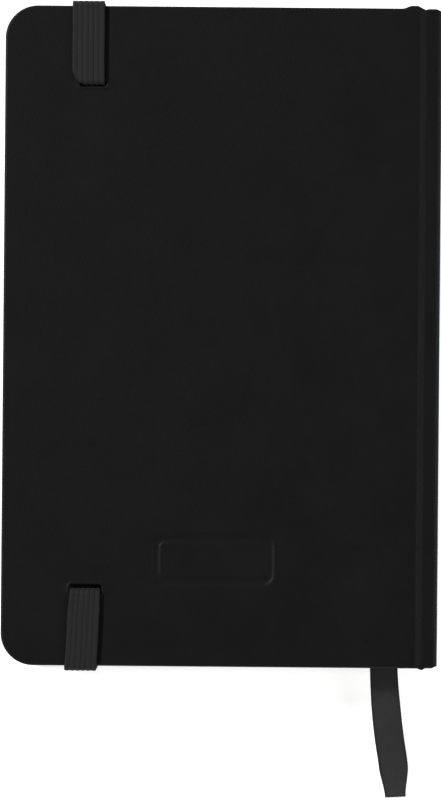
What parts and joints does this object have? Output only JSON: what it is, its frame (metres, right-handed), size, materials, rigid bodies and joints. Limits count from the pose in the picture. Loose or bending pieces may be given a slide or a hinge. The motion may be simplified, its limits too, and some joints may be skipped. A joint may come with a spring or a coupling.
{
  "type": "pocket notebook",
  "caption": "Hardback pocket notebook with rounded corners, sewn leaves, hinged covers, an elastic closure band, a ribbon marker and an inner pocket.",
  "frame": {"origin": "on the surface that the closed notebook lies on, under the middle of its covers", "axes": "+X towards the spine, +Y towards the head, +Z from the front cover up to the back cover"},
  "size_m": [0.094, 0.174, 0.0164],
  "materials": {
    "cover_skin": "smooth matt imitation leather with a fine grain, near black",
    "cover_board": "grey binder's board",
    "spine_card": "thin grey card",
    "endpaper": "uncoated ivory endpaper",
    "page_paper": "uncoated ivory writing paper",
    "thread": "waxed white sewing thread",
    "mull": "open-weave book cloth",
    "ribbon": "dark grey woven satin ribbon",
    "elastic": "black ribbed flat elastic",
    "pocket_card": "ivory card",
    "pocket_cloth": "black book cloth"
  },
  "bodies": {
    "root": {"spine_strip": "spine_card", "spine_skin": "cover_skin", "front_hinge_skin": "cover_skin", "back_hinge_skin": "cover_skin", "sewing_thread": "thread", "spine_lining": "mull", "ribbon_glued_end": "ribbon", "ribbon_marker": "ribbon", "signature_02": "page_paper", "signature_03": "page_paper", "signature_04": "page_paper", "signature_05": "page_paper", "signature_06": "page_paper", "signature_07": "page_paper", "signature_08": "page_paper", "signature_09": "page_paper"},
    "front_cover": {"front_board": "cover_board", "front_cover_skin": "cover_skin", "front_pastedown": "endpaper"},
    "back_cover": {"back_board": "cover_board", "back_cover_skin": "cover_skin", "back_pastedown": "endpaper", "pocket_gusset_head": "pocket_cloth", "pocket_gusset_tail": "pocket_cloth", "elastic_head_anchor": "elastic", "elastic_tail_anchor": "elastic"},
    "front_flyleaf": {"front_flyleaf": "endpaper"},
    "front_leaves": {"signature_01": "page_paper"},
    "back_flyleaf": {"back_flyleaf": "endpaper"},
    "back_leaves": {"signature_10": "page_paper"},
    "pocket_panel": {"pocket_panel": "pocket_card"},
    "elastic_band": {"elastic_band": "elastic"}
  },
  "joints": [
    {"name": "front_cover_hinge", "type": "hinge", "parent": "root", "child": "front_cover", "pos_m": [0.0442, 0, 0.00075], "axis": [0, -1, 0], "range_deg": [0, 178]},
    {"name": "back_cover_hinge", "type": "hinge", "parent": "root", "child": "back_cover", "pos_m": [0.0442, 0, 0.01565], "axis": [0, 1, 0], "range_deg": [0, 178]},
    {"name": "front_flyleaf_turn", "type": "hinge", "parent": "root", "child": "front_flyleaf", "pos_m": [0.0442, 0, 0.00075], "axis": [0, -1, 0], "range_deg": [0, 173]},
    {"name": "front_leaves_turn", "type": "hinge", "parent": "root", "child": "front_leaves", "pos_m": [0.0442, 0, 0.00075], "axis": [0, -1, 0], "range_deg": [0, 161]},
    {"name": "back_flyleaf_turn", "type": "hinge", "parent": "root", "child": "back_flyleaf", "pos_m": [0.0442, 0, 0.01565], "axis": [0, 1, 0], "range_deg": [0, 173]},
    {"name": "back_leaves_turn", "type": "hinge", "parent": "root", "child": "back_leaves", "pos_m": [0.0442, 0, 0.01565], "axis": [0, 1, 0], "range_deg": [0, 161]},
    {"name": "pocket_opening", "type": "hinge", "parent": "back_cover", "child": "pocket_panel", "pos_m": [0.036, 0, 0.01255], "axis": [0, -1, 0], "range_deg": [0, 3.5]},
    {"name": "elastic_swing", "type": "hinge", "parent": "back_cover", "child": "elastic_band", "pos_m": [-0.0293, 0, 0.00863], "axis": [0, 1, 0], "range_deg": [0, 178], "deforming": ["elastic_band"]}
  ],
  "couplings": [
    {"joint": "front_flyleaf_turn", "follows": "front_cover_hinge", "ratio": 0.97},
    {"joint": "front_leaves_turn", "follows": "front_cover_hinge", "ratio": 0.9},
    {"joint": "back_flyleaf_turn", "follows": "back_cover_hinge", "ratio": 0.97},
    {"joint": "back_leaves_turn", "follows": "back_cover_hinge", "ratio": 0.9},
    {"joint": "pocket_opening", "follows": "back_cover_hinge", "ratio": 0.019},
    {"joint": "elastic_swing", "follows": "back_cover_hinge", "ratio": 1}
  ]
}
